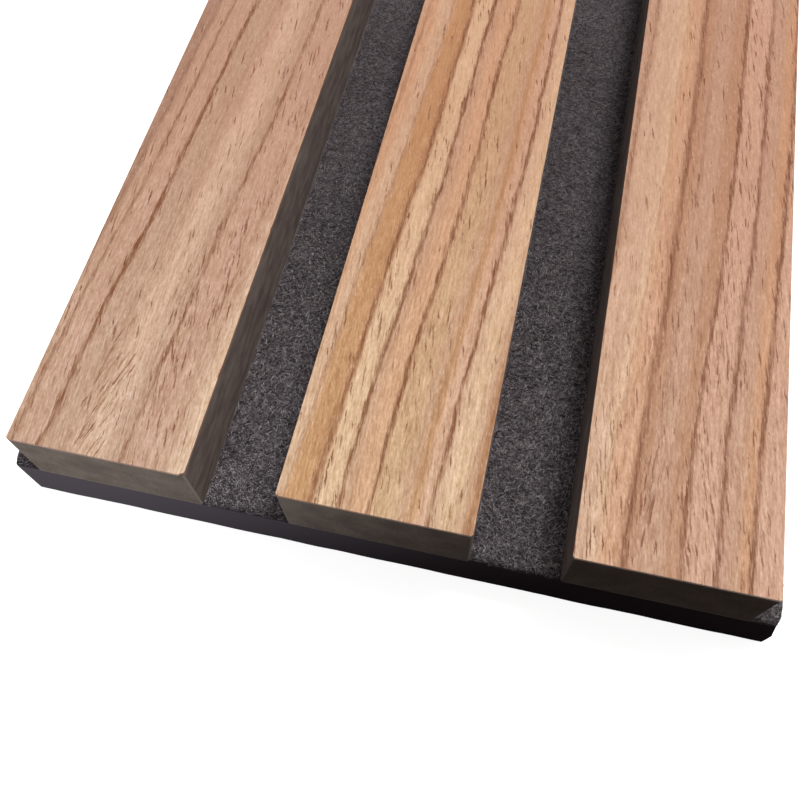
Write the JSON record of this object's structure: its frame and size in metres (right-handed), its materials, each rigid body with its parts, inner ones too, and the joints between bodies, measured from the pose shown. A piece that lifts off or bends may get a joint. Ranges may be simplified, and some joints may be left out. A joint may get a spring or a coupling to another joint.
{
  "type": "acoustic slat wall panel",
  "caption": "Short length of acoustic wall panel: wood-veneered slats stapled side by side on a dark felt backing board.",
  "frame": {"origin": "centre of the felt's back face, which is the bottom of the overall box", "axes": "+X across the slats, +Y along the slats away from the sawn near end, +Z out of the wall towards the veneer"},
  "size_m": [0.1174, 0.2, 0.0226],
  "materials": {
    "felt": "needle-punched, matt",
    "mdf": "dyed fibreboard, sawn",
    "veneer": "satin, straight grained",
    "paper": "matt",
    "staple_steel": "zinc coated wire"
  },
  "bodies": {
    "root": {"felt_backing": "felt", "core_left": "mdf", "veneer_left": "veneer", "backing_paper_left": "paper", "core_centre": "mdf", "veneer_centre": "veneer", "backing_paper_centre": "paper", "core_right": "mdf", "veneer_right": "veneer", "backing_paper_right": "paper", "staples": "staple_steel"}
  },
  "joints": []
}
